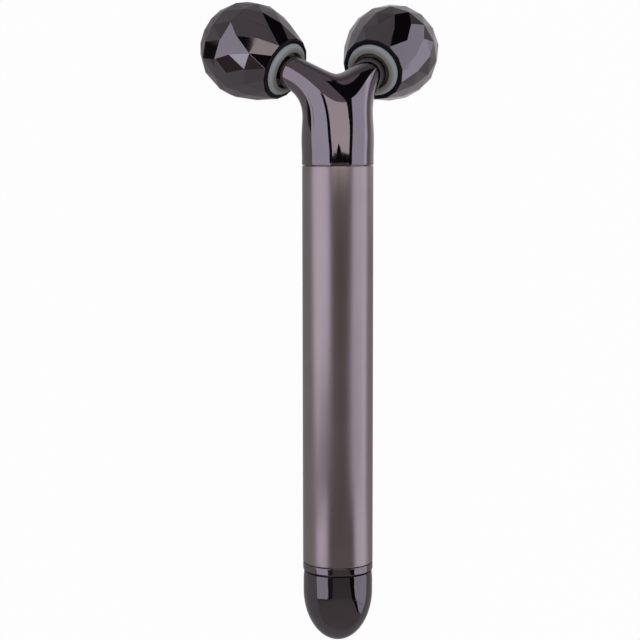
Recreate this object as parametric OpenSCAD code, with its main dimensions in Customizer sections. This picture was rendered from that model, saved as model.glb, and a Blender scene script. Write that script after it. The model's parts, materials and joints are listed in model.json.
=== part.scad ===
// Two-ball facial toning roller with a battery handle.
// Every piece is drawn in the handle's own axes: z runs up the handle towards
// the balls, z = 0 is the seam between handle and neck, and +y is the side that
// the arms bend to. placed() then lays the whole device on its two balls and
// its end cap.

/* [Handle] */
// Outer diameter of the handle tube
tube_d = 18; // [17.6:0.1:18.4]
// Length of the handle tube
tube_len = 102; // [98:1:110]
// Wall of the handle tube
tube_wall = 1.0; // [0.9:0.05:1.1]

/* [Neck and arms] */
// Half of the angle between the two ball axes
arm_spread = 36.7; // [32:0.1:40]
// How far the ball axes bend away from the handle's axis
arm_tilt = 60.7; // [56:0.1:64]
// Distance of each ball's mouth from the middle plane
mouth_x = 11.4; // [11:0.1:13]
// Distance of each ball's mouth behind the handle's axis
mouth_y = 7.9; // [7:0.1:9]
// Height of each ball's mouth above the seam
mouth_z = 24.1; // [23:0.1:26]
// Diameter of an arm where it meets its ball
arm_end_d = 8.4; // [7.6:0.1:8.8]

/* [Balls] */
// Diameter over the corners of a ball's facets
ball_d = 25; // [24.6:0.1:25.4]
// Number of facets round a ball
facets_round = 15; // [13:1:17]
// Turn of the right ball's facets at rest; the left ball mirrors it
facet_turn = 7; // [0:1:24]
// Distance from a ball's mouth to its centre
ball_reach = 13.1; // [12.8:0.1:13.4]
// Diameter over the corners of the first facets, round the mouth
lip_d = 16.6; // [16.4:0.1:17]
// Outer diameter of the translucent collar
collar_d = 13.8; // [13.4:0.1:14]
// Hole in the translucent collar
collar_hole_d = 9.3; // [9:0.1:9.5]
// Diameter of the steel axle
axle_d = 3; // [2.6:0.1:3.2]

/* [Tail] */
// Outer diameter of the end cap
cap_d = 17.8; // [17.4:0.1:18]
// Height of the polished band above the end cap
band_h = 1.8; // [1.4:0.1:2.4]
// Straight part of the end cap
cap_straight = 5.1; // [4:0.1:7]
// Height of the end cap's dome
cap_dome = 13.3; // [11:0.1:15]

/* [Inside] */
// Diameter of the battery cell
cell_d = 14.2; // [13.8:0.1:14.4]
// Length of the battery cell with its button
cell_len = 50.2; // [49.5:0.1:50.5]
// Diameter of the vibration motor
motor_d = 8; // [7:0.1:8.4]
// Length of the vibration motor
motor_len = 15; // [13:0.5:16]

/* [Resting] */
// Angle of the handle above the surface it lies on
rest_tilt = 8.33; // [8:0.01:9]

/* [Hidden] */
$fn = 64;
tube_r = tube_d / 2;
bore_r = tube_r - tube_wall;
neck_r = tube_r + 0.05;
cap_r = cap_d / 2;
axle_r = axle_d / 2;
chamfer = 0.25;

// spigot of the neck inside the tube
spigot_len = 12;
spigot_clear = 0.02;
spigot_bore_r = 6;
cavity_r = 5;
cavity_top = 9;
shoulder = 0.35;
seam = 0.15;
ring_groove_z = -4.6;
ring_groove_h = 1.1;
ring_wire_r = 0.45;

// swept arms: rings up to the point where the two arms part, then rings to their ends
arm_start_z = 2;
arm_sides = 24;
joined_rings = 9;
parted_rings = 8;
halvings = 40;
arm_gap = 1.7;
arm_base_pull = 12.3;
arm_end_pull = 9.2;
taper_from = 0.075;
taper_to = 0.89;
arm_end_r = arm_end_d / 2;
boss_r = 2.6;
boss_top = 1.2;
boss_turn = 5; // keeps the boss's seam off the corners of the arm's end
axle_root = 8.5;

// ball, measured along its axis from the mouth
ball_r = ball_d / 2;
lip_r = lip_d / 2;
lip_h = 0.5;
belly_z = 5.1;
belly_r = ball_r - 2;
flange_r = 8;
flange_top = 0.05;
flange_back = 2.4;
flange_edge = 0.25;
collar_r = collar_d / 2;
collar_hole_r = collar_hole_d / 2;
collar_rise = 1.2;
collar_seat = 1.6;
collar_edge = 0.3;
collar_step = 1;
collar_bevel = 0.4;
collar_sink = 0.15; // share of the rise at which the dome meets the flange
collar_hole_top = 0.6; // share of the rise at which the hole's wall ends
hub_r = 6;
hub_front = 1.85;
hub_back = 20;
bush_r = 2.5;
bush_len = 4;
bush_front = 2.35;
bush_back = 12;
running = 0.03;
axle_clear = 0.4;
axle_end = 16.2;
washer_r = 3.2;
washer_h = 0.6;
retainer_pocket_r = 3.6;
screw_r = 0.8;
screw_head_r = 1.6;
screw_head_h = 1.0;
screw_len = 6;
screw_short = 1; // empty depth left under the screw
screw_slot = 0.4;
thrust_r = 2.4;
thrust_play = 0.15;

// corners of the facets on the round part of a ball: angle from the far pole
row_angles = [105, 88, 63.4, 42, 20];

// inside the handle, from the seam downwards
carrier_top = -1;
carrier_len = 22;
carrier_clear = 0.1;
strap_slot_w = 1.2;
strap_slot_in = 0.9;
strap_slot_out = 0.6;
strap_w = 1;
strap_h = 0.3;
strap_len = 17.8;
strap_foot = 2; // height of the strap's foot above the carrier's lower end
strap_clear = 0.2;
motor_r = motor_d / 2;
motor_top = -1;
motor_bottom = motor_top - motor_len;
can_wall = 0.4;
can_end_h = 1.5;
magnet_h = 9;
magnet_wall = 0.8;
magnet_lift = 3;
magnet_spread = 0.6; // half-width as a share of the motor's radius
pole_w = 1.2;
pole_lift = 4;
pole_gap = 0.3;
core_r = 1.6;
core_lift = 3.5;
shaft_lift = 0.8;
shaft_seat = 0.6;
shaft_r = 0.5;
weight_r = 3.4;
weight_bottom = 1;
weight_h = 5;
weight_hub_r = 1.3;
contact_h = 0.4;
contact_r = 5;
stud_r = 1;
cell_r = cell_d / 2;
cell_top = -carrier_len - 1;
button_h = 1.2;
button_r = 2.7;
button_rise = 0.6;
cell_bottom = cell_top - cell_len;
sleeve_inner_r = 7.3;
sleeve_outer_r = 7.9;
sleeve_extra = 2;
sleeve_below = 1.6;

// tail
collar_insert_len = 12;
insert_bore_r = 7.4;
nipple_r = 8.0;
nipple_len = 6;
nipple_clear = 0.15;
nipple_bevel = 0.3;
nipple_end_gap = 0.6;
tail_z = -tube_len;
band_bottom = tail_z - band_h;
gasket_h = 0.2;
cap_gap = 0.55;
cap_hollow_r = 4.5;
cap_hollow_depth = 4;
seal_inset = 0.25;
cap_top = band_bottom - cap_gap;
cap_shoulder = cap_top - cap_straight;
plug_r = 6.9;
plug_top = -88;
plug_bottom = -112.5;
rivet_r = 1;
rivet_clear = 0.1;
rivet_head = 1;
disc_r = 5.6;
disc_h = 0.5;
disc_gap = 0.15;
spring_r = 5;
spring_top_r = 3.6;
spring_wire_r = 0.4;
spring_turns = 6;
spring_sides = 6;
spring_steps = 12; // per turn
spring_gap = 0.4;

// resting place
dome_support = sqrt(pow(cap_r * cos(rest_tilt), 2) + pow(cap_dome * sin(rest_tilt), 2));
lift = dome_support - cap_shoulder * sin(rest_tilt);
shift_y = 38.8;

// ---- frames ----

module placed() {
    translate([0, shift_y, lift]) rotate([-90 + rest_tilt, 0, 0]) children();
}

module at_arm(side) {
    placed() translate([side * mouth_x, mouth_y, mouth_z])
        rotate([-arm_tilt, 0, 0]) rotate([0, side * arm_spread, 0]) children();
}

module ring(r_in, r_out, h, z = 0) {
    translate([0, 0, z]) rotate_extrude() translate([r_in, 0]) square([r_out - r_in, h]);
}

module disc(r, h, z = 0) {
    translate([0, 0, z]) cylinder(r = r, h = h);
}

// ---- fork: two arms swept along curves, joined on the middle plane ----

function arm_dir(side) = [side * sin(arm_spread), cos(arm_spread) * sin(arm_tilt),
    cos(arm_spread) * cos(arm_tilt)];

function bezier(p, t) = pow(1 - t, 3) * p[0] + 3 * pow(1 - t, 2) * t * p[1]
    + 3 * (1 - t) * t * t * p[2] + pow(t, 3) * p[3];

function bezier_dir(p, t) = pow(1 - t, 2) * (p[1] - p[0]) + 2 * (1 - t) * t * (p[2] - p[1])
    + t * t * (p[3] - p[2]);

function ease(t) = t * t * (3 - 2 * t);

function unit(v) = v / norm(v);

function arm_path() = let (tip = [-mouth_x, mouth_y, mouth_z] - arm_dir(-1) * arm_gap)
    [[0, 0, arm_start_z], [0, 0, arm_start_z + arm_base_pull],
    tip - arm_dir(-1) * arm_end_pull, tip];

function arm_r(t) = let (share = (t - taper_from) / (taper_to - taper_from))
    neck_r + (arm_end_r - neck_r) * ease(min(1, max(0, share)));

// unit vector of the left arm's ring that points towards the middle plane
function inward(t) = let (along = unit(bezier_dir(arm_path(), t)),
    v = unit(cross(along, [1, 0, 0]))) cross(v, along);

// cosine of the angle at which the left arm's ring crosses the middle plane
function crossing(t) = -bezier(arm_path(), t)[0] / (arm_r(t) * inward(t)[0]);

function parting(lo, hi, n) = let (mid = (lo + hi) / 2)
    n == 0 ? mid : crossing(mid) < 1 ? parting(mid, hi, n - 1) : parting(lo, mid, n - 1);

// the part of a ring on the left of the middle plane, from back to front
function half_ring(at, r, u, v, start, joined) = [for (i = [0:arm_sides])
    let (a = start + (360 - 2 * start) * i / arm_sides, p = at + r * (cos(a) * u + sin(a) * v))
    joined && (i == 0 || i == arm_sides) ? [0, p[1], p[2]] : p];

function arm_ring(t, start, joined) = let (u = inward(t),
    v = cross(unit(bezier_dir(arm_path(), t)), u))
    half_ring(bezier(arm_path(), t), arm_r(t), u, v, start, joined);

function base_ring(r, z) = half_ring([0, 0, z], r, [1, 0, 0], [0, 1, 0], 90, true);

function mirrored(points) = [for (p = points) [p[0] == 0 ? 0 : -p[0], p[1], p[2]]];

module fork() {
    split = parting(0, 1, halvings);
    left = concat(
        base_ring(neck_r - chamfer, 0),
        base_ring(neck_r, chamfer),
        [for (k = [0:joined_rings - 1]) let (t = split * k / joined_rings)
            each arm_ring(t, acos(crossing(t)), true)],
        arm_ring(split, 0, true),
        [for (k = [1:parted_rings]) each arm_ring(split + (1 - split) * k / parted_rings, 0,
            false)]);
    n = arm_sides;
    step = n + 1;
    rows = joined_rings + parted_rings + 2;
    half = len(left);
    last = rows * step;
    faces = concat(
        [for (k = [0:rows - 1], i = [0:n - 1]) let (a = k * step + i, b = a + step)
            each [[a, b, b + 1], [a, b + 1, a + 1],
            [half + a, half + b + 1, half + b], [half + a, half + a + 1, half + b + 1]]],
        [concat([for (i = [0:n]) i], [for (i = [n - 1:-1:1]) half + i]),
        [for (i = [n - 1:-1:0]) last + i], [for (i = [0:n - 1]) half + last + i]]);
    polyhedron(concat(left, mirrored(left)), faces, convexity = 8);
}

// ---- balls ----

// every second ring of corners is turned by half a facet
function facet_ring(k, r, z) = [for (i = [0:facets_round - 1])
    let (a = 360 * (i + k % 2 / 2) / facets_round) [r * cos(a), r * sin(a), z]];

function facet_faces(k) = [for (i = [0:facets_round - 1])
    let (n = facets_round, j = (i + 1) % n, a = k * n, b = a + n)
    each (k % 2 == 0 ? [[a + i, b + i, a + j], [a + j, b + i, b + j]]
        : [[a + i, b + i, b + j], [a + i, b + j, a + j]])];

module faceted_ball() {
    n = facets_round;
    bands = len(row_angles) + 1;
    points = concat(
        facet_ring(0, lip_r, lip_h),
        facet_ring(1, belly_r, belly_z),
        [for (k = [2:bands]) let (a = row_angles[k - 2])
            each facet_ring(k, ball_r * sin(a), ball_reach + ball_r * cos(a))]);
    polyhedron(points, concat(
        [[for (i = [0:n - 1]) i]],
        [for (k = [0:bands - 1]) each facet_faces(k)],
        [[for (i = [n - 1:-1:0]) bands * n + i]]), convexity = 4);
}

module ball_shell(side) {
    color("#5b5458") at_arm(side) difference() {
        rotate([0, 0, side > 0 ? facet_turn : 180 - facet_turn]) faceted_ball();
        disc(flange_r, flange_back + 1, -1);
        disc(hub_r, hub_back);
    }
}

// black core of a ball; its flange is the dark ring round the collar
module ball_hub(side) {
    color("#2b2b2d") at_arm(side) difference() {
        union() {
            disc(hub_r, hub_back - flange_top - flange_edge, flange_top + flange_edge);
            disc(flange_r, flange_back - flange_top - flange_edge, flange_top + flange_edge);
            translate([0, 0, flange_top])
                cylinder(r1 = flange_r - flange_edge, r2 = flange_r, h = flange_edge);
        }
        disc(collar_r, collar_seat + 1, -1);
        disc(collar_hole_r, hub_front + 1, -1);
        disc(bush_r, bush_front + bush_len);
        disc(axle_r + axle_clear, hub_back);
        disc(bush_r, bush_len, bush_back);
        disc(retainer_pocket_r, hub_back, bush_back + bush_len);
    }
}

module ball_bush(side, z) {
    color("#b08d57") at_arm(side) ring(axle_r + running, bush_r, bush_len, z);
}

module ball_axle(side) {
    color("#c9c9cc") at_arm(side) difference() {
        disc(axle_r, axle_end + axle_root, -axle_root);
        disc(screw_r, screw_len + 1, axle_end - screw_len);
    }
}

module axle_washer(side) {
    color("#bdbdbd") at_arm(side) ring(screw_r, washer_r, washer_h, axle_end);
}

module axle_screw(side) {
    color("#8f8f94") at_arm(side) union() {
        disc(screw_r, screw_len + washer_h - screw_short, axle_end - screw_len + screw_short);
        difference() {
            disc(screw_head_r, screw_head_h, axle_end + washer_h);
            translate([-screw_head_r, -screw_slot / 2, axle_end + washer_h + screw_head_h / 2])
                cube([2 * screw_head_r, screw_slot, screw_head_h]);
        }
    }
}

module thrust_washer(side) {
    color("#e8e4da") at_arm(side) ring(axle_r, thrust_r,
        hub_front - boss_top - thrust_play, boss_top);
}

// domed ring; its rounded back rises out of the mouth towards the arm
module collar(side) {
    crest_r = collar_hole_r + collar_edge;
    color("#c3cdc8") at_arm(side) rotate_extrude() polygon(concat(
        [for (a = [0:10:90]) [crest_r + (collar_r - crest_r) * sin(a),
            collar_rise * (collar_sink - cos(a)) + flange_top * a / 90]],
        [[collar_r, collar_seat], [collar_r - collar_step, collar_seat],
        [collar_hole_r, collar_bevel], [collar_hole_r, -collar_rise * collar_hole_top]]));
}

// ---- neck ----

module neck_yoke() {
    color("#6a6468") difference() {
        union() {
            placed() fork();
            placed() disc(bore_r - spigot_clear, spigot_len + 0.5, -spigot_len);
            for (side = [-1, 1]) at_arm(side) rotate([0, 0, boss_turn])
                disc(boss_r, boss_top + arm_gap + 1, -arm_gap - 1);
        }
        placed() disc(spigot_bore_r, spigot_len - 0.5, -spigot_len - 0.5);
        placed() disc(cavity_r, cavity_top + 1, -1);
        placed() ring(bore_r - 2 * ring_wire_r, tube_r, ring_groove_h, ring_groove_z);
        for (side = [-1, 1]) at_arm(side) rotate([0, 0, boss_turn])
            disc(axle_r, axle_root + boss_top + 1, -axle_root);
    }
}

module neck_o_ring() {
    color("#1c1c1c") placed() translate([0, 0, ring_groove_z + ring_groove_h / 2])
        rotate_extrude() translate([bore_r - ring_wire_r, 0]) circle(r = ring_wire_r, $fn = 24);
}

// ---- vibration motor and its contacts ----

module motor_carrier() {
    strap_z = strap_foot - carrier_len;
    color("#e9e7e1") placed() difference() {
        union() {
            disc(spigot_bore_r - running, spigot_len + carrier_top, -spigot_len);
            disc(bore_r - carrier_clear, carrier_len - spigot_len, -carrier_len);
        }
        disc(motor_r, motor_len + 1, motor_bottom);
        disc(stud_r, carrier_len, -carrier_len - 1);
        translate([motor_r - strap_slot_in, -strap_slot_w / 2, strap_z])
            cube([strap_slot_in + strap_slot_out, strap_slot_w, carrier_len]);
        translate([motor_r - strap_slot_in, -strap_slot_w / 2, strap_z])
            cube([bore_r - motor_r + strap_slot_in, strap_slot_w, 1]);
    }
}

module motor_can() {
    color("#a9abae") placed() difference() {
        disc(motor_r, motor_len - can_end_h, motor_bottom + can_end_h);
        disc(motor_r - can_wall, motor_len - can_end_h - can_wall, motor_bottom + can_end_h);
        disc(shaft_r + running, motor_len, motor_top - 2);
    }
}

module motor_magnets() {
    color("#3a3a3c") placed() for (turn = [0, 180]) rotate([0, 0, turn])
        translate([0, 0, motor_bottom + magnet_lift]) intersection() {
            ring(motor_r - can_wall - magnet_wall, motor_r - can_wall, magnet_h);
            translate([0, -motor_r * magnet_spread, 0])
                cube([motor_r, 2 * motor_r * magnet_spread, motor_len]);
        }
}

module motor_end_cap() {
    color("#f3f1ea") placed() difference() {
        disc(motor_r, can_end_h, motor_bottom);
        disc(shaft_r + running, 1, motor_bottom + shaft_seat);
    }
}

module motor_armature() {
    pole_r = motor_r - can_wall - magnet_wall - pole_gap;
    color("#b87333") placed() union() {
        disc(shaft_r, weight_bottom + weight_h - motor_bottom - shaft_lift,
            motor_bottom + shaft_lift);
        for (k = [0:2]) rotate([0, 0, 120 * k])
            translate([0, -pole_w / 2, motor_bottom + pole_lift])
                cube([pole_r, pole_w, motor_len - 2 * pole_lift]);
        disc(core_r, motor_len - 2 * core_lift, motor_bottom + core_lift);
    }
}

module eccentric_weight() {
    color("#7d7f83") placed() translate([0, 0, weight_bottom]) difference() {
        union() {
            intersection() {
                disc(weight_r, weight_h);
                translate([-weight_r, 0, 0]) cube([2 * weight_r, weight_r, weight_h]);
            }
            disc(weight_hub_r, weight_h);
        }
        disc(shaft_r, weight_h + 2, -1);
    }
}

module positive_contact() {
    color("#d4b04c") placed() union() {
        disc(contact_r, contact_h, -carrier_len - contact_h);
        disc(stud_r, carrier_len + motor_bottom + contact_h, -carrier_len - contact_h);
    }
}

module ground_strap() {
    foot_z = strap_foot + strap_clear - carrier_len;
    color("#c9a24a") placed() union() {
        translate([motor_r, -strap_w / 2, foot_z])
            cube([strap_h, strap_w, strap_len]);
        translate([motor_r, -strap_w / 2, foot_z])
            cube([bore_r - motor_r - carrier_clear / 2, strap_w, strap_h]);
    }
}

// ---- handle ----

module handle_tube() {
    color("#8a8184") placed() rotate_extrude() polygon([[bore_r, tail_z], [tube_r - chamfer, tail_z],
        [tube_r, tail_z + chamfer], [tube_r, -shoulder - chamfer], [tube_r - chamfer, -shoulder],
        [bore_r, -shoulder]]);
}

module battery_sleeve() {
    color("#efece4") placed() ring(sleeve_inner_r, sleeve_outer_r,
        cell_len + sleeve_extra, cell_bottom - sleeve_below);
}

module battery_cell() {
    color("#3d5a80") placed() disc(cell_r, cell_len - button_h, cell_bottom);
}

module battery_button() {
    color("#d8d8d8") placed() disc(button_r, button_h + button_rise,
        cell_top - button_h);
}

// ---- tail ----

module tail_collar() {
    band_top = tail_z - seam;
    nipple_end = band_bottom - nipple_len;
    color("#9c9599") placed() rotate_extrude() polygon([
        [insert_bore_r, tail_z + collar_insert_len], [insert_bore_r, nipple_end],
        [nipple_r - nipple_bevel, nipple_end], [nipple_r, nipple_end + nipple_bevel],
        [nipple_r, band_bottom],
        [tube_r - chamfer, band_bottom], [tube_r, band_bottom + chamfer],
        [tube_r, band_top - chamfer], [tube_r - chamfer, band_top],
        [bore_r, band_top], [bore_r, tail_z + collar_insert_len]]);
}

module tail_gasket() {
    color("#242424") placed() ring(nipple_r, cap_r - seal_inset, gasket_h,
        band_bottom - gasket_h);
}

module end_cap() {
    color("#4a464a") placed() difference() {
        rotate_extrude() polygon(concat(
            [[0, cap_top], [cap_r - chamfer, cap_top], [cap_r, cap_top - chamfer]],
            [for (a = [0:5:90]) [cap_r * cos(a), cap_shoulder - cap_dome * sin(a)]]));
        disc(nipple_r + nipple_clear, nipple_len + 1, band_bottom - nipple_len - nipple_end_gap);
        disc(plug_r + 0.001, 8, plug_bottom);
        disc(cap_hollow_r, 2 * cap_hollow_depth, plug_bottom - cap_hollow_depth);
    }
}

module cap_plug() {
    color("#34343a") placed() difference() {
        disc(plug_r, plug_top - plug_bottom, plug_bottom);
        disc(rivet_r + rivet_clear, plug_top - plug_bottom + 2, plug_bottom - 1);
    }
}

module contact_rivet() {
    color("#c7a13f") placed() disc(rivet_r, plug_top - plug_bottom + rivet_head,
        plug_bottom - rivet_head);
}

module contact_disc() {
    color("#d4b04c") placed() difference() {
        disc(disc_r, disc_h, plug_top + disc_gap);
        disc(rivet_r, disc_h + 2, plug_top - 1);
    }
}

// point on the spring's wire; f runs from 0 at the disc to 1 at the cell
function spring_point(f, bottom, top) = let (r = spring_r + (spring_top_r - spring_r) * f)
    [r * cos(360 * spring_turns * f), r * sin(360 * spring_turns * f), bottom + (top - bottom) * f];

module contact_spring() {
    n = spring_sides;
    steps = spring_turns * spring_steps;
    bottom = plug_top + disc_gap + disc_h + spring_wire_r;
    top = cell_bottom - spring_gap - spring_wire_r;
    points = [for (k = [0:steps]) let (
        along = unit(spring_point((k + 0.5) / steps, bottom, top)
            - spring_point((k - 0.5) / steps, bottom, top)),
        u = unit(cross([0, 0, 1], along)),
        v = cross(along, u))
        for (i = [0:n - 1]) let (a = 360 * i / n)
            spring_point(k / steps, bottom, top) + spring_wire_r * (cos(a) * u + sin(a) * v)];
    color("#d9d9dc") placed() polyhedron(points, concat(
        [[for (i = [0:n - 1]) i]],
        [for (k = [0:steps - 1], i = [0:n - 1]) let (j = (i + 1) % n, a = k * n, b = a + n)
            each [[a + i, b + i, b + j], [a + i, b + j, a + j]]],
        [[for (i = [n - 1:-1:0]) steps * n + i]]), convexity = 12);
}

ball_shell(-1);  // left_ball_shell
ball_hub(-1);  // left_ball_hub
ball_bush(-1, bush_front);  // left_inner_bush
ball_bush(-1, bush_back);  // left_outer_bush
ball_axle(-1);  // left_axle
axle_washer(-1);  // left_axle_washer
axle_screw(-1);  // left_axle_screw
thrust_washer(-1);  // left_thrust_washer
collar(-1);  // left_collar
ball_shell(1);  // right_ball_shell
ball_hub(1);  // right_ball_hub
ball_bush(1, bush_front);  // right_inner_bush
ball_bush(1, bush_back);  // right_outer_bush
ball_axle(1);  // right_axle
axle_washer(1);  // right_axle_washer
axle_screw(1);  // right_axle_screw
thrust_washer(1);  // right_thrust_washer
collar(1);  // right_collar
neck_yoke();
neck_o_ring();
motor_carrier();
motor_can();
motor_magnets();
motor_end_cap();
motor_armature();
eccentric_weight();
positive_contact();
ground_strap();
handle_tube();
battery_sleeve();
battery_cell();
battery_button();
tail_collar();
tail_gasket();
end_cap();
cap_plug();
contact_rivet();
contact_disc();
contact_spring();
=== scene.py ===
import json
import math

import bmesh
import bpy
import numpy as np
from mathutils import Matrix, Vector


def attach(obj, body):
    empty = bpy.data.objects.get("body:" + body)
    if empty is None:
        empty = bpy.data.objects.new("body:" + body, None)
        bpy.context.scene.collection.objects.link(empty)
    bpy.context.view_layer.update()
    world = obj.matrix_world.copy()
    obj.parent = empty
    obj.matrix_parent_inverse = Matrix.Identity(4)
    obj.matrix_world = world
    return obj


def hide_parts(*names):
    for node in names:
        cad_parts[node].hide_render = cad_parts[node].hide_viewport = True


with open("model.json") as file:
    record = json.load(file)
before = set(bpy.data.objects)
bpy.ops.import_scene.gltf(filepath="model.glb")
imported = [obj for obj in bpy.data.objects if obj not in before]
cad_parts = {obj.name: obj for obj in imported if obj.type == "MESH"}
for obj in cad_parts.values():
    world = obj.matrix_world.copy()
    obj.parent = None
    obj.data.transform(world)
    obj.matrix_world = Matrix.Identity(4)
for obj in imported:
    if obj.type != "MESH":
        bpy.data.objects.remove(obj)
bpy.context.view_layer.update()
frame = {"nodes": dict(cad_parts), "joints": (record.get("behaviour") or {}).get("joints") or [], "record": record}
print("frame loaded")

millimetre = 0.001
joints = {j["name"]: j for j in frame["joints"]}


def axesAt(origin, along):
    # z runs along, x stays as near to world X as it can
    z = Vector(along).normalized()
    x = (Vector((1, 0, 0)) - z * z.x).normalized()
    turn = Matrix((x, z.cross(x), z)).transposed().to_4x4()
    return Matrix.Translation(origin) @ turn


handleUp = Vector(joints["motor_spin"]["axis"])
motorBelowSeam = 8 * millimetre    # the motor's joint sits this far inside the handle
handleAxes = axesAt(Vector(joints["motor_spin"]["pos_m"]) + handleUp * motorBelowSeam, handleUp)
seamPlace = handleAxes.translation
ballAxes = {side: axesAt(joints[side + "_ball_spin"]["pos_m"], joints[side + "_ball_spin"]["axis"])
            for side in ("left", "right")}

camera = {
    "place": (-0.10803, -0.01341, 0.42567),
    "aim": (-0.00362, 0.00011, 0.01500),
    "roll": 2.139,
    "lens": 92.8,
    "sensor": 36,
    "clip": (0.01, 20),
}


def makeCamera():
    data = bpy.data.cameras.new("camera")
    data.lens, data.sensor_width = camera["lens"], camera["sensor"]
    data.clip_start, data.clip_end = camera["clip"]
    obj = bpy.data.objects.new("camera", data)
    back = (Vector(camera["place"]) - Vector(camera["aim"])).normalized()
    right = Vector((0, 1, 0)).cross(back).normalized()
    turn = Matrix((right, back.cross(right), back)).transposed().to_4x4()
    turn = turn @ Matrix.Rotation(math.radians(-camera["roll"]), 4, "Z")
    obj.matrix_world = Matrix.Translation(camera["place"]) @ turn
    bpy.context.collection.objects.link(obj)
    bpy.context.scene.camera = obj


def newMaterial(name):
    material = bpy.data.materials.new(name)
    material.use_nodes = True
    material.node_tree.nodes.clear()
    return material, material.node_tree.nodes, material.node_tree.links


def mathNode(nodes, links, operation, *values):
    node = nodes.new("ShaderNodeMath")
    node.operation = operation
    for socket, value in zip(node.inputs, values):
        if isinstance(value, (int, float)):
            socket.default_value = value
        else:
            links.new(value, socket)
    return node.outputs[0]


def seenRays(nodes, links):
    # 1 for camera, glossy and transmission rays
    rays = nodes.new("ShaderNodeLightPath")
    first = mathNode(nodes, links, "MAXIMUM", rays.outputs["Is Camera Ray"], rays.outputs["Is Glossy Ray"])
    return mathNode(nodes, links, "MAXIMUM", first, rays.outputs["Is Transmission Ray"])


def newMesh(name, points, faces):
    data = bpy.data.meshes.new(name)
    data.from_pydata([tuple(p) for p in points], [], faces)
    data.update()
    obj = bpy.data.objects.new(name, data)
    bpy.context.collection.objects.link(obj)
    return obj


studio = {
    "floorColour": (0.9, 0.9, 0.9),
    "floorWhite": 0.965,          # share of the floor's colour that is plain white
    "floorHalf": 1.5,
    "floorLevel": -0.0002,
    "worldGrey": 0.55,
    "wallColour": (0.26, 0.225, 0.25),
    "roomHalf": 7.0,
    "roomHeight": 4.0,
    "tableLevel": -0.0001,        # just over the floor, then the patches and the sheet over the table
    "patchLevel": -0.00008,
    "sheetLevel": -0.00005,
    "lampPlace": (0.1, -0.2, 1.2),
    "lampSize": 0.8,
    "lampWatts": 1.2,
}


def square(half, level):
    return [(-half, -half, level), (half, -half, level), (half, half, level), (-half, half, level)]


def makeFloor():
    floor = newMesh("floor", square(studio["floorHalf"], studio["floorLevel"]), [(0, 1, 2, 3)])
    material, nodes, links = newMaterial("floorWhite")
    matt = nodes.new("ShaderNodeBsdfDiffuse")
    matt.inputs["Color"].default_value = (*studio["floorColour"], 1)
    glow = nodes.new("ShaderNodeEmission")
    mixed = nodes.new("ShaderNodeMixShader")
    share = mathNode(nodes, links, "MULTIPLY", seenRays(nodes, links), studio["floorWhite"])
    links.new(share, mixed.inputs[0])
    links.new(matt.outputs[0], mixed.inputs[1])
    links.new(glow.outputs[0], mixed.inputs[2])
    out = nodes.new("ShaderNodeOutputMaterial")
    links.new(mixed.outputs[0], out.inputs["Surface"])
    floor.data.materials.append(material)


def makeWorld():
    world = bpy.data.worlds.new("room")
    world.use_nodes = True
    nodes, links = world.node_tree.nodes, world.node_tree.links
    nodes.clear()
    mixed = nodes.new("ShaderNodeMix")
    mixed.data_type = "RGBA"
    mixed.inputs["A"].default_value = (*(studio["worldGrey"],) * 3, 1)
    mixed.inputs["B"].default_value = (1, 1, 1, 1)
    links.new(seenRays(nodes, links), mixed.inputs["Factor"])
    back = nodes.new("ShaderNodeBackground")
    links.new(mixed.outputs["Result"], back.inputs["Color"])
    out = nodes.new("ShaderNodeOutputWorld")
    links.new(back.outputs[0], out.inputs["Surface"])
    bpy.context.scene.world = world


def onlyReflected(obj, lightsToo=False):
    # stage pieces that the metal shows and the camera doesn't
    obj.visible_camera = False
    obj.visible_shadow = False
    obj.visible_transmission = False
    obj.visible_diffuse = lightsToo


def emission(nodes, links, strength):
    glow = nodes.new("ShaderNodeEmission")
    if isinstance(strength, str):
        tint = nodes.new("ShaderNodeAttribute")
        tint.attribute_name = strength
        links.new(tint.outputs["Color"], glow.inputs["Color"])
    else:
        glow.inputs["Color"].default_value = (*strength, 1)
    return glow.outputs[0]


def makeRoom():
    # grey walls that glow softly, well away from the object
    low, high = (square(studio["roomHalf"], studio[level]) for level in ("tableLevel", "roomHeight"))
    sides = [(k, k + 4, (k + 1) % 4 + 4, (k + 1) % 4) for k in range(4)]
    walls = newMesh("greyWalls", low + high, [(4, 7, 6, 5)] + sides)
    walls.data.materials.append(glowMaterial("wallGrey", studio["wallColour"]))
    onlyReflected(walls)


def makeLamp():
    data = bpy.data.lights.new("softLamp", "AREA")
    data.size, data.energy = studio["lampSize"], studio["lampWatts"]
    lamp = bpy.data.objects.new("softLamp", data)
    lamp.location = studio["lampPlace"]
    lamp.visible_glossy = False
    bpy.context.collection.objects.link(lamp)


# The table that the metal shows is one grey with soft-edged patches of painted shadow, painted light and painted
# shade. A patch is its x range, its y range, its tone and the width of its soft edge, in metres
table = {
    "tone": 0.3,
    "tint": (1.0, 0.94, 0.98),
    "patches": {
        # painted shadow on the table, seen only in the metal
        "paintedShadowPatch": ((-0.115, -0.048), (0.06, 0.08), 0.02, 0.003),
        # painted pool of light on the table, seen only in the metal
        "paintedLightPool": ((0.02, 0.06), (0.055, 0.09), 0.6, 0.035),
        "farShade": ((-6.9, 6.9), (0.2, 6.9), 0.15, 0.075),
    },
    "sheet": (-0.118, -2.0, -0.055, 0.115),   # x and y range of the glow beyond the patch of painted shadow
    "sheetColour": (1.0, 0.93, 1.0),
}


def glowMaterial(name, strength):
    material, nodes, links = newMaterial(name)
    out = nodes.new("ShaderNodeOutputMaterial")
    links.new(emission(nodes, links, strength), out.inputs["Surface"])
    return material


def tableColour(tone):
    return [tone * c for c in table["tint"]]


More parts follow.
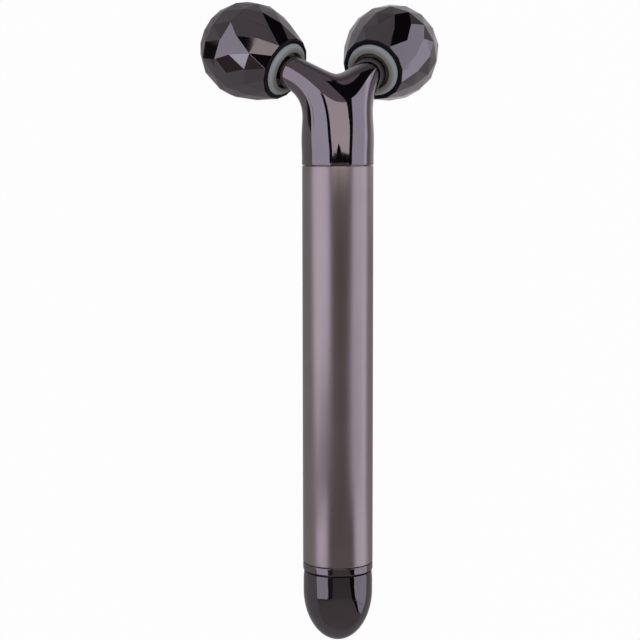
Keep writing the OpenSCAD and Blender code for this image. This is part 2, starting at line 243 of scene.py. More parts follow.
def makePatch(name, across, along, tone, soft):
    # the patch fades to the table's own grey over its soft edge
    points, colours = [], []
    for grown, value in ((soft, table["tone"]), (0, tone)):
        x0, x1, y0, y1 = across[0] - grown, across[1] + grown, along[0] - grown, along[1] + grown
        points += [(x, y, studio["patchLevel"]) for x, y in ((x0, y0), (x1, y0), (x1, y1), (x0, y1))]
        colours += (tableColour(value) + [1]) * 4
    border = [(k, (k + 1) % 4, (k + 1) % 4 + 4, k + 4) for k in range(4)]
    patch = newMesh(name, points, [(4, 5, 6, 7)] + border)
    patch.data.attributes.new("glow", "FLOAT_COLOR", "POINT").data.foreach_set("color", colours)
    patch.data.materials.append(glowMaterial(name + "Light", "glow"))
    onlyReflected(patch)


def makeTable():
    top = newMesh("greyTable", square(studio["roomHalf"], studio["tableLevel"]), [(0, 1, 2, 3)])
    top.data.materials.append(glowMaterial("tableGrey", tableColour(table["tone"])))
    onlyReflected(top)
    for name, facts in table["patches"].items():
        makePatch(name, *facts)
    x0, x1, y0, y1 = table["sheet"]
    corners = [(x, y, studio["sheetLevel"]) for x, y in ((x1, y0), (x0, y0), (x0, y1), (x1, y1))]
    sheet = newMesh("glowSheet", corners, [(0, 1, 2, 3)])
    sheet.data.materials.append(glowMaterial("sheetGlow", table["sheetColour"]))
    onlyReflected(sheet)


capMiddle = -110 * millimetre    # along the handle, from the seam
places = {"seam": seamPlace, "tail": handleAxes @ Vector((0, 0, capMiddle))}
coolWhite, warmWhite, black = (0.96, 0.93, 1.1), (1.06, 0.96, 0.95), (0.012, 0.010, 0.014)
hoodGrey = (0.15, 0.132, 0.136)
cardColumns = 40
lightingDistance = 0.5           # cards farther off than this light the matt pieces too

# Cards hang on drums about a place on the object. Each row is (slope, start, end, glow): the slope is the
# rise along +Y over the distance from the drum's axis, and start and end are angles in degrees from
# straight up towards +X. A notch is (middle, half width, rise) in the lowest rows, which are one row or as
# many as notchRows says.
cards = {
    "leftSoftbox": {"place": "seam", "distance": 0.6, "colour": coolWhite,
                    "rows": ((-0.33, -93, -40, 1.7), (-0.15, -93, -40, 1), (0.75, -93, -40, 1))},
    "leftFoot": {"place": "seam", "distance": 0.6, "colour": (0.11, 0.075, 0.08),
                 "rows": ((-0.75, -93, -40, 1), (-0.33, -93, -40, 1))},
    "rightSoftbox": {"place": "seam", "distance": 0.6, "colour": coolWhite,
                     "rows": ((-0.6, 29, 97, 0.7), (-0.1, 29, 97, 0.9), (0.85, 29, 97, 0.9))},
    "edgeStrip": {"place": "seam", "distance": 0.59, "colour": coolWhite,
                  "rows": ((-0.6, 78, 88, 1.2), (0.85, 78, 88, 1.2))},
    "ballCard": {"place": "seam", "distance": 0.25, "colour": warmWhite,
                 "rows": ((0.14, -33, 20.3, 1), (0.78, -33, 20.3, 1))},
    "ballShade": {"place": "seam", "distance": 0.25, "colour": black,
                  "rows": ((-0.06, -34, 20, 1), (0.14, -34, 20, 1))},
    "nearFlag": {"place": "seam", "distance": 0.25, "colour": (0.16, 0.14, 0.14),
                 "rows": ((-0.9, -33, 16.5, 1.2), (-0.6, -33, 16.5, 1), (-0.06, -33, 16.5, 0.8))},
    "topCard": {"place": "seam", "distance": 0.06, "colour": warmWhite,
                "rows": ((-0.1, -31, 18.8, 1), (0.06, -31.9, 18.8, 1), (0.45, -31.9, 18.8, 1)),
                "notch": (-11, 6, 0.1)},
    "notchShade": {"place": "seam", "distance": 0.061, "colour": black,
                   "rows": ((-0.16, -31, 18.8, 1), (0.1, -31, 18.8, 1))},
    "leftGap": {"place": "seam", "distance": 0.25, "colour": black,
                "rows": ((-0.15, -41, -31, 1), (0.0, -42.5, -33, 1), (0.7, -42.5, -33, 1))},
    "rightGap": {"place": "seam", "distance": 0.25, "colour": black,
                 "rows": ((-0.3, 20.3, 31, 1), (0.95, 20.3, 31, 1))},
    "farFlag": {"place": "seam", "distance": 0.6, "colour": black,
                "rows": ((0.85, 20, 105, 1), (1.0, 20, 104, 1), (1.05, 20, 98, 1), (2.8, 20, 96, 1))},
    "capHood": {"place": "tail", "distance": 0.075, "colour": hoodGrey,
                "rows": ((-3, -120, 120, 1.7), (-0.9, -95, 95, 1.6), (-0.5, -88, 88, 1.5),
                         (-0.42, -47.6, 38.9, 1.1), (0, -47.6, 38.9, 0.9))},
    "capSkirt": {"place": "tail", "distance": 0.0755, "colour": hoodGrey,
                 "rows": ((-0.52, -88, -46, 1.5), (-0.3, -88, -46, 1.3))},
    "capLeftGap": {"place": "tail", "distance": 0.0745, "colour": (0.05, 0.04, 0.055),
                   "rows": ((-0.45, -47.6, -36, 0.6), (-0.3, -47.6, -31, 1), (0, -47.6, -31, 1))},
    "capRightGap": {"place": "tail", "distance": 0.0745, "colour": black,
                    "rows": ((-0.82, 68, 76, 1), (-0.3, 24, 38.9, 1), (0, 23.4, 38.9, 1))},
    "leftApron": {"place": "tail", "distance": 0.074, "colour": coolWhite,
                  "rows": ((-0.51, -86.5, -46, 0.02), (-0.48, -86.5, -46, 0.02), (-0.479, -86.5, -52, 1),
                           (-0.42, -86.5, -47.6, 1), (0, -86.5, -47.6, 1)),
                  "notch": (-90, 70, 0.15), "notchRows": 4},
    "rightApron": {"place": "tail", "distance": 0.074, "colour": coolWhite,
                   "rows": ((-0.75, 73, 92, 0.85), (-0.3, 38.9, 92, 0.95), (0, 38.9, 92, 0.92))},
}


def makeCard(name, facts):
    middle, reach, rise = facts.get("notch", (0, 1, 0))
    across = cardColumns + 1
    points, colours = [], []
    for k, (slope, start, end, glow) in enumerate(facts["rows"]):
        for i in range(across):
            angle = start + (end - start) * i / cardColumns
            a = math.radians(angle)
            lift = rise * max(0, 1 - abs(angle - middle) / reach) if k < facts.get("notchRows", 1) else 0
            arm = Vector((math.sin(a), slope + lift, math.cos(a))) * facts["distance"]
            points.append(places[facts["place"]] + arm)
            colours += [c * glow for c in facts["colour"]] + [1]
    faces = [(a, a + 1, a + 1 + across, a + across)
             for k in range(len(facts["rows"]) - 1) for a in range(k * across, k * across + cardColumns)]
    card = newMesh(name, points, faces)
    card.data.attributes.new("glow", "FLOAT_COLOR", "POINT").data.foreach_set("color", colours)
    card.data.materials.append(glowMaterial(name + "Light", "glow"))
    onlyReflected(card, lightsToo=facts["distance"] > lightingDistance)


makeCamera()
makeFloor()
makeWorld()
makeRoom()
makeTable()
makeLamp()
for cardName, cardFacts in cards.items():
    makeCard(cardName, cardFacts)
print("camera, floor and light ready")


def roundedOutline(corners, steps=4):
    # corners are (r, z, rounding); each corner with a rounding becomes a short arc
    out = []
    for i, (r, z, rounding) in enumerate(corners):
        here = np.array((r, z), float)
        if rounding == 0 or i == 0 or i == len(corners) - 1:
            out.append(tuple(here))
            continue
        before = np.array(corners[i - 1][:2], float) - here
        after = np.array(corners[i + 1][:2], float) - here
        reach = min(rounding, np.linalg.norm(before) / 2, np.linalg.norm(after) / 2)
        a = here + before / np.linalg.norm(before) * reach
        b = here + after / np.linalg.norm(after) * reach
        for k in range(steps + 1):
            t = k / steps
            out.append(tuple((1 - t) ** 2 * a + 2 * t * (1 - t) * here + t * t * b))
    return out


def addLathe(mesh, outline, segments, closed=False, turn=0):
    # turns an outline of (r, z) about the z axis; gives back its rings of vertices
    rings = []
    for r, z in outline:
        if r < 1e-6:
            rings.append([mesh.verts.new((0, 0, z))] * segments)
            continue
        angles = [turn + 2 * math.pi * i / segments for i in range(segments)]
        rings.append([mesh.verts.new((r * math.cos(a), r * math.sin(a), z)) for a in angles])
    for lower, upper in list(zip(rings, rings[1:])) + ([(rings[-1], rings[0])] if closed else []):
        for i in range(segments):
            j = (i + 1) % segments
            corners = dict.fromkeys((lower[i], lower[j], upper[j], upper[i]))
            mesh.faces.new(tuple(corners))
    return rings


def finishPiece(name, mesh, axes, body, slot, nodes, sharpAngle=30):
    # the mesh is in millimetres in the given axes; its object stays at the origin
    bmesh.ops.remove_doubles(mesh, verts=mesh.verts, dist=1e-4)
    bmesh.ops.transform(mesh, matrix=axes @ Matrix.Scale(millimetre, 4), verts=mesh.verts)
    bmesh.ops.recalc_face_normals(mesh, faces=mesh.faces)
    data = bpy.data.meshes.new(name)
    mesh.to_mesh(data)
    mesh.free()
    data.shade_smooth()
    data.set_sharp_from_angle(angle=math.radians(sharpAngle))
    data.materials.append(finishes[slot])
    obj = bpy.data.objects.new(name, data)
    bpy.context.collection.objects.link(obj)
    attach(obj, body)
    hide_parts(*nodes)
    return obj


broadScale = 90           # of the wandering tint, per metre
noiseRange = (0.3, 0.7)   # most of the noise's values lie between these


def makeGrainGroup():
    # a wandering tint, a roughness that varies, and a fine height for the bump
    group = bpy.data.node_groups.new("surfaceGrain", "ShaderNodeTree")
    given = {"Base": "NodeSocketColor", "Place": "NodeSocketVector", "Grain per mm": "NodeSocketFloat",
             "Roughness": "NodeSocketFloat", "Roughness Spread": "NodeSocketFloat",
             "Tint Spread": "NodeSocketFloat"}
    for name, kind in given.items():
        group.interface.new_socket(name=name, in_out="INPUT", socket_type=kind)
    for name, kind in (("Colour", "NodeSocketColor"), ("Roughness", "NodeSocketFloat"),
                       ("Height", "NodeSocketFloat")):
        group.interface.new_socket(name=name, in_out="OUTPUT", socket_type=kind)
    nodes, links = group.nodes, group.links
    start, result = nodes.new("NodeGroupInput"), nodes.new("NodeGroupOutput")
    fine = nodes.new("ShaderNodeTexNoise")
    fine.inputs["Detail"].default_value = 3
    links.new(start.outputs["Place"], fine.inputs["Vector"])
    links.new(mathNode(nodes, links, "MULTIPLY", start.outputs["Grain per mm"], 1 / millimetre),
              fine.inputs["Scale"])
    broad = nodes.new("ShaderNodeTexNoise")
    broad.inputs["Scale"].default_value = broadScale
    broad.inputs["Detail"].default_value = 2
    links.new(start.outputs["Place"], broad.inputs["Vector"])
    wander = nodes.new("ShaderNodeMapRange")
    wander.inputs["From Min"].default_value, wander.inputs["From Max"].default_value = noiseRange
    links.new(broad.outputs["Fac"], wander.inputs["Value"])
    links.new(mathNode(nodes, links, "SUBTRACT", 1, start.outputs["Tint Spread"]), wander.inputs["To Min"])
    links.new(mathNode(nodes, links, "ADD", 1, start.outputs["Tint Spread"]), wander.inputs["To Max"])
    tinted = nodes.new("ShaderNodeVectorMath")
    tinted.operation = "SCALE"
    links.new(start.outputs["Base"], tinted.inputs[0])
    links.new(wander.outputs["Result"], tinted.inputs["Scale"])
    links.new(tinted.outputs[0], result.inputs["Colour"])
    both = mathNode(nodes, links, "ADD", fine.outputs["Fac"], broad.outputs["Fac"])
    centred = mathNode(nodes, links, "SUBTRACT", both, 1)
    rough = mathNode(nodes, links, "MULTIPLY_ADD", centred, start.outputs["Roughness Spread"],
                     start.outputs["Roughness"])
    links.new(rough, result.inputs["Roughness"])
    links.new(fine.outputs["Fac"], result.inputs["Height"])
    return group


grainGroup = makeGrainGroup()


def makeFinish(name, facts):
    # one Principled surface with its own grain; where painted ring shading is given, an inner colour fades to the
    # outer one across a ring, painting light and shade into the colour
    material, nodes, links = newMaterial(name)
    coords = nodes.new("ShaderNodeTexCoord")
    place = nodes.new("ShaderNodeMapping")
    place.inputs["Rotation"].default_value = (math.asin(handleUp.z) - math.pi / 2, 0, 0)
    place.inputs["Scale"].default_value = (1, 1, facts.get("stretch", 1))
    links.new(coords.outputs["Object"], place.inputs["Vector"])
    grain = nodes.new("ShaderNodeGroup")
    grain.node_tree = grainGroup
    grain.inputs["Base"].default_value = (*facts["colour"], 1)
    if "paintedRingShading" in facts:
        share = nodes.new("ShaderNodeAttribute")
        share.attribute_name = "ringShare"
        blend = nodes.new("ShaderNodeValToRGB")
        stops = blend.color_ramp.elements
        while len(stops) < len(facts["paintedRingShading"]):
            stops.new(0.5)
        for stop, (position, colour) in zip(stops, facts["paintedRingShading"]):
            stop.position = position
            stop.color = (*colour, 1)
        links.new(share.outputs["Fac"], blend.inputs["Fac"])
        links.new(blend.outputs["Color"], grain.inputs["Base"])
    grain.inputs["Grain per mm"].default_value = facts.get("grain", 4)
    grain.inputs["Roughness"].default_value = facts["roughness"]
    grain.inputs["Roughness Spread"].default_value = facts.get("roughnessSpread", 0.05)
    grain.inputs["Tint Spread"].default_value = facts.get("tintSpread", 0.04)
    links.new(place.outputs[0], grain.inputs["Place"])
    surface = nodes.new("ShaderNodeBsdfPrincipled")
    surface.inputs["Metallic"].default_value = facts.get("metal", 0)
    surface.inputs["IOR"].default_value = facts.get("ior", 1.5)
    surface.inputs["Subsurface Weight"].default_value = facts.get("subsurface", 0)
    surface.inputs["Subsurface Scale"].default_value = facts.get("subsurfaceDepth", 0.001)
    surface.inputs["Coat Weight"].default_value = facts.get("coat", 0)
    surface.inputs["Coat Roughness"].default_value = facts.get("coatRoughness", 0.1)
    surface.inputs["Specular Tint"].default_value = (*facts.get("edgeTint", (1, 1, 1)), 1)
    links.new(grain.outputs["Colour"], surface.inputs["Base Color"])
    links.new(grain.outputs["Roughness"], surface.inputs["Roughness"])
    bump = nodes.new("ShaderNodeBump")
    bump.inputs["Strength"].default_value = facts.get("bump", 0.1)
    bump.inputs["Distance"].default_value = facts.get("depth", 0.002) * millimetre
    links.new(grain.outputs["Height"], bump.inputs["Height"])
    links.new(bump.outputs[0], surface.inputs["Normal"])
    out = nodes.new("ShaderNodeOutputMaterial")
    links.new(surface.outputs[0], out.inputs["Surface"])
    return material


finishFacts = {
    "ball_plating": {"colour": (0.200, 0.186, 0.194), "metal": 1, "roughness": 0.05, "roughnessSpread": 0.03},
    "neck_polish": {"colour": (0.255, 0.228, 0.245), "metal": 1, "roughness": 0.05, "roughnessSpread": 0.03},
    "cap_polish": {"colour": (0.175, 0.162, 0.17), "metal": 1, "roughness": 0.05, "roughnessSpread": 0.03},
    "handle_satin": {"colour": (0.41, 0.353, 0.35), "metal": 1, "roughness": 0.31, "grain": 12, "bump": 0.2},
    "band_polish": {"colour": (0.24, 0.22, 0.235), "metal": 1, "roughness": 0.07},
    # the ring colours are painted light and shade: the lighter web deep in the hole is painted light, the dark
    # hole wall is painted shade, and the olive inner dome fading to the bluish outer dome is a painted reflection
    "collar_clear": {"colour": (0.34, 0.37, 0.38), "roughness": 0.6, "ior": 1.3,
                     "subsurface": 0.2, "subsurfaceDepth": 0.0005,
                     "paintedRingShading": ((0.37, (0.21, 0.18, 0.18)), (0.392, (0.08, 0.07, 0.07)),
                                     (0.434, (0.08, 0.07, 0.07)), (0.471, (0.23, 0.22, 0.185)),
                                     (0.666, (0.25, 0.24, 0.21)), (0.848, (0.34, 0.37, 0.38)))},
    "black_acetal": {"colour": (0.006, 0.005, 0.007), "roughness": 0.5, "ior": 1.25},
    "bronze_bush": {"colour": (0.55, 0.36, 0.18), "metal": 1, "roughness": 0.4},
    "axle_steel": {"colour": (0.56, 0.56, 0.57), "metal": 1, "roughness": 0.22},
    "seal_rubber": {"colour": (0.015, 0.015, 0.015), "roughness": 0.55},
    # greyer than white nylon: painted shade, so the thrust washer in its recess shows as a dark grey ring round
    # the arm
    "white_nylon": {"colour": (0.45, 0.44, 0.41), "roughness": 0.45},
    "motor_steel": {"colour": (0.50, 0.50, 0.51), "metal": 1, "roughness": 0.3},
    "magnet_dark": {"colour": (0.05, 0.05, 0.055), "roughness": 0.6},
    "winding_copper": {"colour": (0.72, 0.35, 0.18), "metal": 1, "roughness": 0.35},
    "contact_brass": {"colour": (0.70, 0.52, 0.22), "metal": 1, "roughness": 0.3},
    "cell_wrap": {"colour": (0.04, 0.10, 0.20), "roughness": 0.3},
    "nickel_plate": {"colour": (0.60, 0.58, 0.54), "metal": 1, "roughness": 0.2},
}
finishes = {name: makeFinish(name, facts) for name, facts in finishFacts.items()}
for part in frame["record"]["subparts"]:
    node = frame["nodes"][part["node"]]
    node.data.materials.clear()
    node.data.materials.append(finishes[part["material_slot"]])
print("finishes ready")

neck = {
    "radius": 9.05,
    "chamfer": 0.12,
    "armStart": 2.0,
    "basePull": 12.8,
    "endPull": 9.2,
    "taper": (0.06, 0.95),
    "gap": 1.7,
    "endRadius": 4.2,
    "endRound": 0.35,
    "endStep": 0.3,
    "bossRadius": 2.6,
    "bossTop": 1.2,
    "axleRadius": 1.5,
    "spigotRadius": 7.98,
    "spigotBore": 6.0,
    "spigotLength": 12.0,
    "skinStart": 1.0,        # the free-form skin begins this far above the seam
    "crotchBlend": 6.0,
    "sides": 96,
    "joinedRings": 50,
    "partedRings": 40,
    "relaxRounds": 5,
    "searchRange": (-0.6, 1.15),    # along the arm's curve, which runs from 0 to 1
    "searchSteps": 36,
    "pathLimits": (-0.9, 1.4),
}


def unit(v):
    return v / np.linalg.norm(v)


def neckPath():
    # the left arm's curve, in the handle's own axes and millimetres
    back = handleAxes.inverted()
    mouth = np.array(back @ ballAxes["left"].translation) / millimetre
    direction = np.array(back.to_3x3() @ ballAxes["left"].to_3x3().col[2])
    tip = mouth - direction * neck["gap"]
    return np.array([(0, 0, neck["armStart"]), (0, 0, neck["armStart"] + neck["basePull"]),
                     tip - direction * neck["endPull"], tip])


def pathPoint(path, t):
    # the cubic, carried on straight past both ends: place, slope and bend
    inside = np.clip(t, 0, 1)[..., None]
    p0, p1, p2, p3 = path
    u = 1 - inside
    point = u ** 3 * p0 + 3 * u * u * inside * p1 + 3 * u * inside ** 2 * p2 + inside ** 3 * p3
    slope = 3 * (u * u * (p1 - p0) + 2 * u * inside * (p2 - p1) + inside ** 2 * (p3 - p2))
    bend = 6 * (u * (p2 - 2 * p1 + p0) + inside * (p3 - 2 * p2 + p1))
    beyond = (t - np.clip(t, 0, 1))[..., None]
    return point + slope * beyond, slope, np.where(beyond == 0, bend, 0)


def neckRadius(t):
    start, end = neck["taper"]
    s = np.clip((t - start) / (end - start), 0, 1)
    return neck["radius"] + (neck["endRadius"] - neck["radius"]) * s * s * (3 - 2 * s)


def nearestOnPath(points, path):
    steps = np.linspace(*neck["searchRange"], neck["searchSteps"])
    samples = pathPoint(path, steps)[0]
    away = ((points[:, None, :] - samples[None]) ** 2).sum(2)
    t = steps[away.argmin(1)]
    for _ in range(5):
        place, slope, bend = pathPoint(path, t)
        gap = points - place
        rate = np.minimum(-(slope ** 2).sum(1) + (gap * bend).sum(1), -1)
        t = np.clip(t - (gap * slope).sum(1) / rate, *neck["pathLimits"])
    return t


def neckField(points, path):
    # signed distance to both arms, blended where they part
    near = points * (-1, 1, 1)
    left, right = nearestOnPath(points, path), nearestOnPath(near, path)
    leftPlace, rightPlace = pathPoint(path, left)[0], pathPoint(path, right)[0]
    leftGap = np.linalg.norm(points - leftPlace, axis=1) - neckRadius(left)
    rightGap = np.linalg.norm(near - rightPlace, axis=1) - neckRadius(right)
    apart = -(rightPlace[:, 0] + leftPlace[:, 0]) / 2
    width = 3 * apart ** 2 / neckRadius((left + right) / 2)
    width = neck["crotchBlend"] * (1 - np.exp(-width / neck["crotchBlend"])) + 1e-6
    blend = np.clip(width - np.abs(leftGap - rightGap), 0, None) / width
    return np.minimum(leftGap, rightGap) - blend ** 3 * width / 6


def settleOnSkin(points, path, rounds):
    step = 1e-3
    for _ in range(rounds):
        value = neckField(points, path)
        slope = np.stack([(neckField(points + step * e, path) - value) / step for e in np.eye(3)], 1)
        points = points - slope * (value / (slope ** 2).sum(1))[:, None]
    return points


def halfRing(at, r, u, v, start):
    n = neck["sides"]
    a = start + (2 * math.pi - 2 * start) * np.arange(n + 1) / n
    return at + r * (np.cos(a)[:, None] * u + np.sin(a)[:, None] * v)


def ringFrame(path, t):
    place, slope, _ = pathPoint(path, np.array(t))
    along = unit(slope)
    v = unit(np.cross(along, (1, 0, 0)))
    u = np.cross(v, along)
    return place, u, np.cross(along, u), along


def crossing(path, t):
    # cosine of the angle at which the ring meets the middle plane
    place, u, _, _ = ringFrame(path, t)
    return -place[0] / (neckRadius(t) * u[0])


def partingPlace(path):
    low, high = 0.0, 1.0
    for _ in range(40):
        mid = (low + high) / 2
        low, high = (mid, high) if crossing(path, mid) < 1 else (low, mid)
    return low


def neckRows(path):
    # rings of the left half, from the spigot's end to the arm's end; skin marks the free-form ones
    flat = np.array((1.0, 0, 0)), np.array((0, 1.0, 0))
    base = roundedOutline([(neck["spigotBore"], -neck["spigotLength"], 0),
                           (neck["spigotRadius"], -neck["spigotLength"], 0.3),
                           (neck["spigotRadius"], 0, 0), (neck["radius"] - neck["chamfer"], 0, 0.05),
                           (neck["radius"], neck["chamfer"], 0.1), (neck["radius"], neck["skinStart"], 0)])
    rows = [halfRing(np.array((0, 0, z)), r, *flat, math.pi / 2) for r, z in base]
    firstSkin = len(rows) - 1
    between = (neck["skinStart"] + neck["armStart"]) / 2
    rows.append(halfRing(np.array((0, 0, between)), neck["radius"], *flat, math.pi / 2))
    split = partingPlace(path)
    for k in range(neck["joinedRings"]):
        t = split * (1 - (1 - k / neck["joinedRings"]) ** 1.3)
        place, u, v, _ = ringFrame(path, t)
        rows.append(halfRing(place, neckRadius(t), u, v, math.acos(min(1, crossing(path, t)))))
    for k in range(neck["partedRings"] + 1):
        t = split + (1 - split) * k / neck["partedRings"]
        place, u, v, along = ringFrame(path, t)
        rows.append(halfRing(place, neckRadius(t), u, v, 0))
    lastSkin = len(rows) - 2
    end = roundedOutline([(neck["endRadius"], 0, 0), (neck["endRadius"], neck["endStep"], neck["endRound"]),
                          (neck["bossRadius"], neck["endStep"], 0.1),
                          (neck["bossRadius"], neck["bossTop"] + neck["gap"], 0.15),
                          (neck["axleRadius"], neck["bossTop"] + neck["gap"], 0),
                          (neck["axleRadius"], 0, 0)])[1:]
    rows += [halfRing(place + along * s, r, u, v, 0) for r, s in end]
    return rows, firstSkin, lastSkin


def weld(points, faces, skin):
    # vertices that share a place become one; those on the middle plane get x = 0
    points = np.where(np.abs(points) < 1e-5, 0, points)
    keys, index, kept = {}, [], []
    for i, p in enumerate(np.round(points, 5) + 0.0):
        key = tuple(p)
        if key not in keys:
            keys[key] = len(kept)
            kept.append(i)
        index.append(keys[key])
    merged = [tuple(dict.fromkeys(index[v] for v in face)) for face in faces]
    return points[kept], [f for f in merged if len(f) > 2], skin[kept]


def relaxSkin(points, faces, skin, path):
    # evens out the net of the left half; the right half pulls on the middle plane as its mirror
    edges = np.array(sorted({tuple(sorted(e)) for f in faces for e in zip(f, f[1:] + f[:1])}))
    onPlane = points[:, 0] == 0
    weight = np.where(onPlane[edges[:, 0]] & ~onPlane[edges[:, 1]], 2, 1)
    backWeight = np.where(onPlane[edges[:, 1]] & ~onPlane[edges[:, 0]], 2, 1)
    count = np.bincount(edges[:, 0], weight, len(points)) + np.bincount(edges[:, 1], backWeight, len(points))
    points[skin] = settleOnSkin(points[skin], path, 3)
    for _ in range(neck["relaxRounds"]):
        for _ in range(4):
            total = np.zeros_like(points)
            np.add.at(total, edges[:, 0], points[edges[:, 1]] * weight[:, None])
            np.add.at(total, edges[:, 1], points[edges[:, 0]] * backWeight[:, None])
            points[skin] += 0.5 * (total / count[:, None] - points)[skin]
            points[onPlane, 0] = 0
        points[skin] = settleOnSkin(points[skin], path, 1)
        points[onPlane, 0] = 0
    points[skin] = settleOnSkin(points[skin], path, 1)
    points[onPlane, 0] = 0
    return points


def makeNeck():
    path = neckPath()
    rows, firstSkin, lastSkin = neckRows(path)
    step = neck["sides"] + 1
    skin = np.zeros(len(rows) * step, bool)
    skin[firstSkin * step:(lastSkin + 1) * step] = True
    faces = [(k * step + i, (k + 1) * step + i, (k + 1) * step + i + 1, k * step + i + 1)
             for k in range(len(rows) - 1) for i in range(step - 1)]
    points, faces, skin = weld(np.concatenate(rows), faces, skin)
    points = relaxSkin(points, faces, skin, path)
    mesh = bmesh.new()
    for flip in (1, -1):
        corners = [mesh.verts.new((x * flip, y, z)) for x, y, z in points]
        for face in faces:
            mesh.faces.new([corners[v] for v in face[::flip]])
    finishPiece("neckFork", mesh, handleAxes, "root", "neck_polish", ["neck_yoke"])


makeNeck()
print("neck made")

handle = {
    "radius": 9.0,
    "bore": 8.0,
    "top": -0.12,
    "bottom": -102.0,
    "edge": 0.18,
}


def makeHandle():
    h = handle
    outline = roundedOutline([(h["bore"], h["bottom"], 0), (h["radius"] - h["edge"], h["bottom"], 0.04),
                              (h["radius"], h["bottom"] + h["edge"], 0.12),
                              (h["radius"], h["top"] - h["edge"], 0.12),
                              (h["radius"] - h["edge"], h["top"], 0.04), (h["bore"], h["top"], 0)])
    mesh = bmesh.new()
    addLathe(mesh, outline, 256, closed=True)
    finishPiece("satinTube", mesh, handleAxes, "root", "handle_satin", ["handle_tube"])


tail = {
    "bandTop": -102.08,
    "bandBottom": -103.95,
    "bandEdge": 0.12,
    "insertTop": -90.0,
    "insertBore": 7.4,
    "nippleRadius": 8.0,
    "nippleEnd": -109.8,
    "nippleEdge": 0.3,
    "gasketRadius": 8.65,
    "gasketBottom": -104.05,
}
cap = {
    "top": -104.32,
    "radius": 8.9,
    "mouthRadius": 8.74,      # the wall leans in a little towards the seam
    "leanEnd": -107.2,
    "shoulder": -109.45,
    "dome": 13.3,
    "edge": 0.12,
    "bore": 8.15,
    "boreEnd": -110.4,
    "plugRadius": 6.9,
    "plugEnd": -112.5,
    "domeSteps": 48,
}


def makeTail():
    t = tail
    band = roundedOutline([(t["insertBore"], t["insertTop"], 0), (t["insertBore"], t["nippleEnd"], 0),
                           (t["nippleRadius"] - t["nippleEdge"], t["nippleEnd"], 0),
                           (t["nippleRadius"], t["nippleEnd"] + t["nippleEdge"], 0),
                           (t["nippleRadius"], t["bandBottom"], 0),
                           (handle["radius"] - t["bandEdge"], t["bandBottom"], 0.05),
                           (handle["radius"], t["bandBottom"] + t["bandEdge"], 0.1),
                           (handle["radius"], t["bandTop"] - t["bandEdge"], 0.1),
                           (handle["radius"] - t["bandEdge"], t["bandTop"], 0.05),
                           (handle["bore"], t["bandTop"], 0), (handle["bore"], t["insertTop"], 0)])
    mesh = bmesh.new()
    addLathe(mesh, band, 256, closed=True)
    finishPiece("tailBand", mesh, handleAxes, "root", "band_polish", ["tail_collar"])
    seal = roundedOutline([(t["nippleRadius"], t["gasketBottom"], 0),
                           (t["gasketRadius"], t["gasketBottom"], 0.08),
                           (t["gasketRadius"], t["bandBottom"], 0.08),
                           (t["nippleRadius"], t["bandBottom"], 0)])
    mesh = bmesh.new()
    addLathe(mesh, seal, 192, closed=True)
    finishPiece("sealRing", mesh, handleAxes, "root", "seal_rubber", ["tail_gasket"])


def makeCap():
    c = cap
    outline = roundedOutline([(0, c["plugEnd"], 0), (c["plugRadius"], c["plugEnd"], 0),
                              (c["plugRadius"], c["boreEnd"], 0), (c["bore"], c["boreEnd"], 0),
                              (c["bore"], c["top"], 0), (c["mouthRadius"] - c["edge"], c["top"], 0.05),
                              (c["mouthRadius"], c["top"] - c["edge"], 0.1)])
    leanFrom = c["top"] - 2 * c["edge"]
    for k in range(9):
        t = k / 8
        outline.append((c["mouthRadius"] + (c["radius"] - c["mouthRadius"]) * math.sin(t * math.pi / 2),
                        leanFrom + (c["leanEnd"] - leanFrom) * t))
    for k in range(c["domeSteps"] + 1):
        a = math.pi / 2 * k / c["domeSteps"]
        outline.append((c["radius"] * math.cos(a) if k < c["domeSteps"] else 0,
                        c["shoulder"] - c["dome"] * math.sin(a)))
    mesh = bmesh.new()
    addLathe(mesh, outline, 256)
    finishPiece("bulletCap", mesh, handleAxes, "tail_cap", "cap_polish", ["end_cap"])


makeHandle()
makeTail()
makeCap()
print("handle and tail made")

ball = {
    "radius": 12.5,
    "reach": 13.1,                         # mouth to centre
    "facets": 15,
    "turn": 7,                             # degrees on the right ball; the left one mirrors it
    "lip": (8.3, 0.5),                     # radius and height of the corners round the mouth
    "belly": (10.5, 5.1),
    "rowAngles": (105, 88, 63.4, 42, 20),  # the other corners, from the far pole
    "facetEdge": 0.07,
    "mouthRadius": 8.0,
    "mouthEdge": 0.1,
    "mouthDepth": 2.4,
    "hubRadius": 6.0,
    "hubEnd": 20.0,
    "segments": 180,
}


def cornerRings(turn):
    rings = [ball["lip"], ball["belly"]]
    for angle in ball["rowAngles"]:
        a = math.radians(angle)
        rings.append((ball["radius"] * math.sin(a), ball["reach"] + ball["radius"] * math.cos(a)))
    n = ball["facets"]
    for k, (r, z) in enumerate(rings):
        corners = [turn + 2 * math.pi * (i + k % 2 / 2) / n for i in range(n)]
        yield [(r * math.cos(a), r * math.sin(a), z) for a in corners]


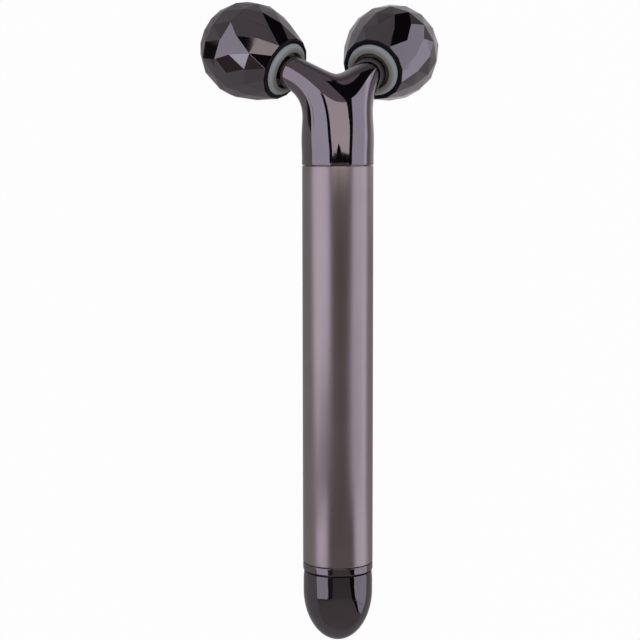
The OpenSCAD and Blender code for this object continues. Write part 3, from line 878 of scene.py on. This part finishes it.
def makeBall(side):
    b, n = ball, ball["facets"]
    turn = math.radians(b["turn"] if side == "right" else 180 - b["turn"])
    mesh = bmesh.new()
    rings = [[mesh.verts.new(p) for p in ring] for ring in cornerRings(turn)]
    for k, (lower, upper) in enumerate(zip(rings, rings[1:])):
        for i in range(n):
            j = (i + 1) % n
            if k % 2 == 0:
                mesh.faces.new((lower[i], upper[i], lower[j]))
                mesh.faces.new((lower[j], upper[i], upper[j]))
            else:
                mesh.faces.new((lower[i], upper[i], upper[j]))
                mesh.faces.new((lower[i], upper[j], lower[j]))
    mesh.faces.new(rings[-1])
    folds = [e for e in mesh.edges if not e.is_boundary]
    bmesh.ops.bevel(mesh, geom=folds, offset=b["facetEdge"], segments=2, profile=0.5, affect="EDGES",
                    clamp_overlap=True)
    rim = [e for e in mesh.edges if e.is_boundary]
    lipHeight = b["lip"][1]
    bore = roundedOutline([(b["mouthRadius"] + b["mouthEdge"], lipHeight, 0),
                           (b["mouthRadius"], lipHeight, b["mouthEdge"]),
                           (b["mouthRadius"], b["mouthDepth"], 0),
                           (b["hubRadius"], b["mouthDepth"], 0), (b["hubRadius"], b["hubEnd"], 0),
                           (0, b["hubEnd"], 0)])
    inner = addLathe(mesh, bore, b["segments"], turn=turn)[0]
    innerRim = [mesh.edges.get((v, w)) for v, w in zip(inner, inner[1:] + inner[:1])]
    bmesh.ops.bridge_loops(mesh, edges=rim + innerRim)
    finishPiece(side + "FacetBall", mesh, ballAxes[side], side + "_ball", "ball_plating",
                [side + "_ball_shell"], sharpAngle=3)


collar = {
    "outer": 6.9,
    "hole": 4.65,
    "crest": 0.3,
    "rise": 1.2,
    "sink": 0.15,             # share of the rise at which the dome meets the flange
    "holeTop": 0.6,           # share of the rise at which the hole's wall ends
    "seat": 1.6,
    "web": (3.2, 0.7),        # inner radius and top of the thin web inside the hole; its lighter colour is painted light in the shaded recess
    "lift": 0.05,
    "steps": 24,
}


def makeCollar(side):
    c = collar
    outline = []
    webRadius, webTop = c["web"]
    for k in range(c["steps"] + 1):
        a = math.pi / 2 * k / c["steps"]
        outline.append((c["hole"] + c["crest"] + (c["outer"] - c["hole"] - c["crest"]) * math.sin(a),
                        c["rise"] * (c["sink"] - math.cos(a)) + c["lift"] * k / c["steps"]))
    outline += roundedOutline([(c["outer"], c["seat"], 0), (webRadius, c["seat"], 0.1),
                               (webRadius, webTop, 0.1), (c["hole"], webTop, 0.1),
                               (c["hole"], -c["rise"] * c["holeTop"], 0.15),
                               (c["hole"] + c["crest"], -c["rise"] * (1 - c["sink"]), 0)])[:-1]
    mesh = bmesh.new()
    # ringShare places the painted light and shade of the ring colours, from 0 at the web's inner edge to 1 at the
    # outer rim
    share = mesh.verts.layers.float.new("ringShare")
    for ring, (r, _) in zip(addLathe(mesh, outline, 192, closed=True), outline):
        for corner in ring:
            corner[share] = (r - webRadius) / (c["outer"] - webRadius)
    finishPiece(side + "DomedCollar", mesh, ballAxes[side], side + "_ball", "collar_clear",
                [side + "_collar"], sharpAngle=40)


for side in ("left", "right"):
    makeBall(side)
    makeCollar(side)
print("balls made")

bpy.context.scene.view_settings.view_transform = "Standard"
